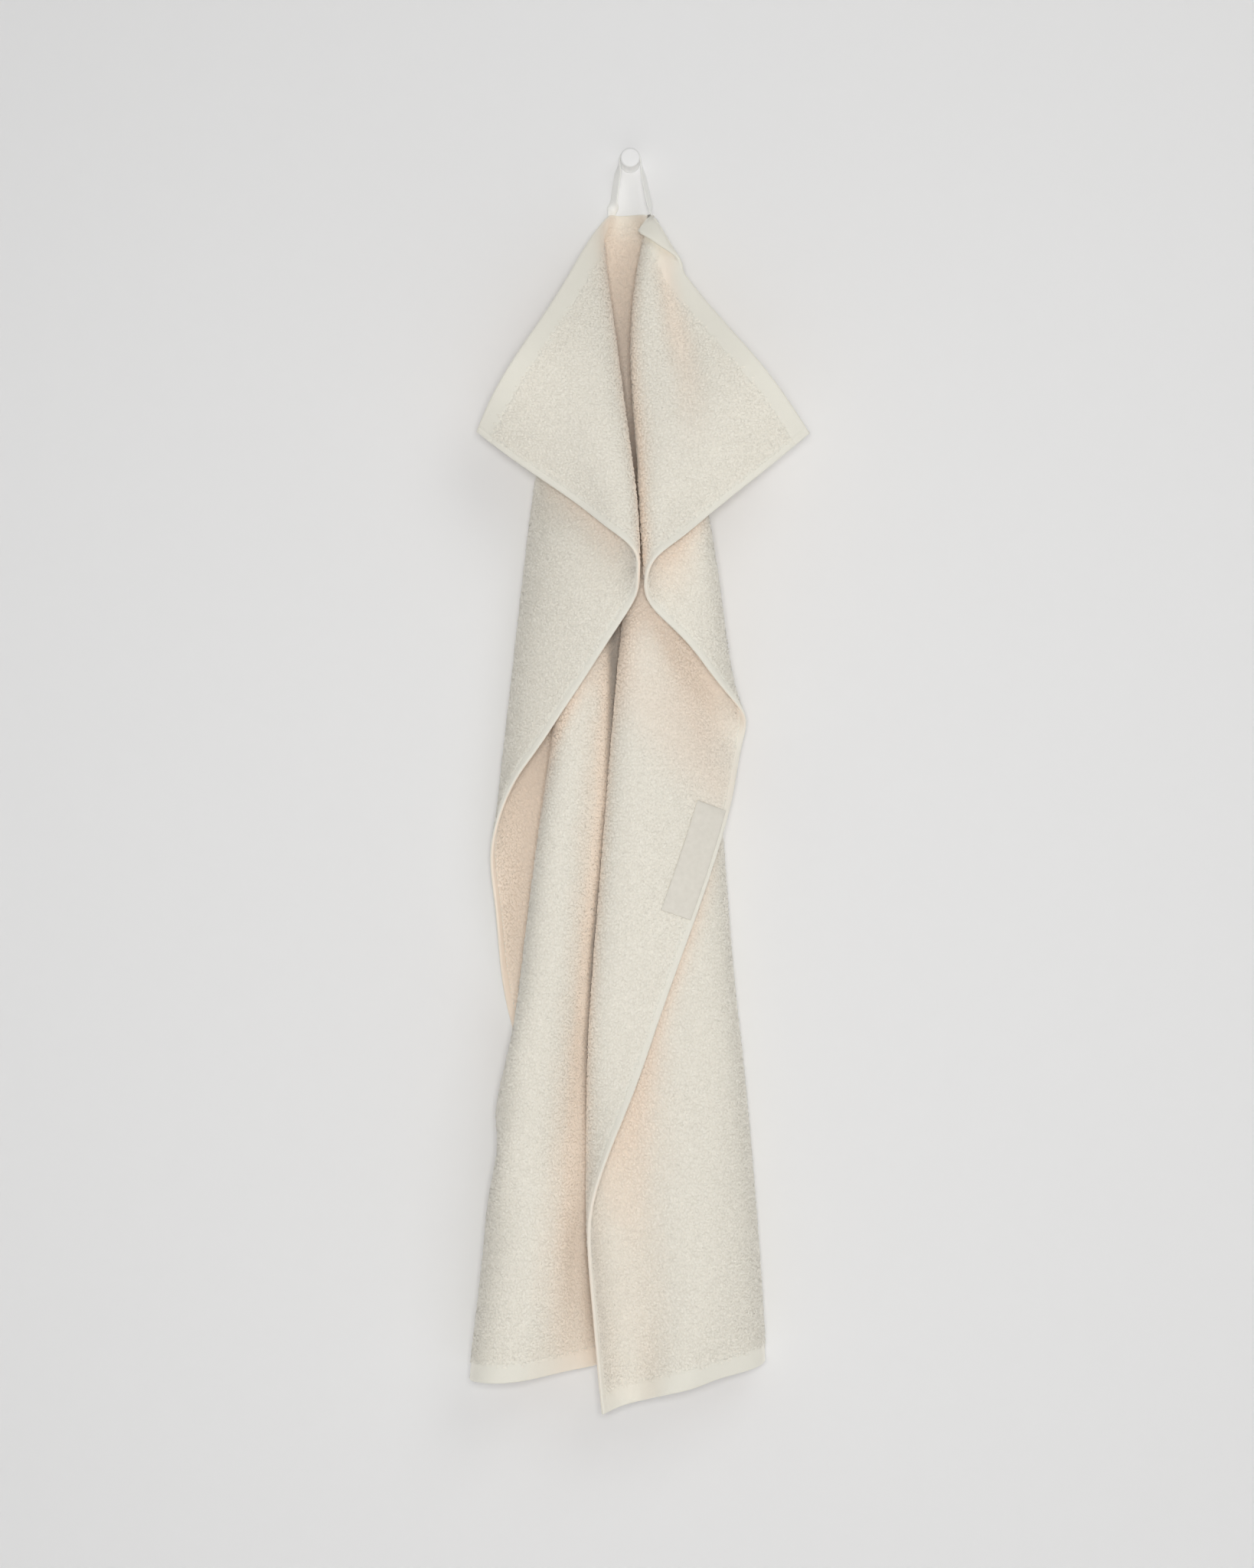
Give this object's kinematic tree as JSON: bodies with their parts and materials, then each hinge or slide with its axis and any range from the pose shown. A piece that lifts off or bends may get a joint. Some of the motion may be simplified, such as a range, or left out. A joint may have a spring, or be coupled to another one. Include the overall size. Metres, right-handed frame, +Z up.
{
  "type": "guest towel on a wall hook",
  "caption": "Terry towel hung by a tape loop at the middle of its short edge on a round wall peg, its top corners falling forward as flaps over long folds.",
  "frame": {"origin": "middle of the peg's flat back face, on the wall", "axes": "+Z up, +Y into the wall, the room on the -Y side and +X to the right of someone facing the wall"},
  "size_m": [0.2647, 0.112, 0.9867],
  "materials": {
    "terry": "ivory cotton terry with a short looped pile and smooth hems",
    "tape": "white woven cotton tape",
    "label": "plain greige woven label",
    "peg": "white, softly polished"
  },
  "bodies": {
    "root": {"towel": "terry", "hang_loop": "tape", "label": "label", "hook": "peg"}
  },
  "joints": []
}
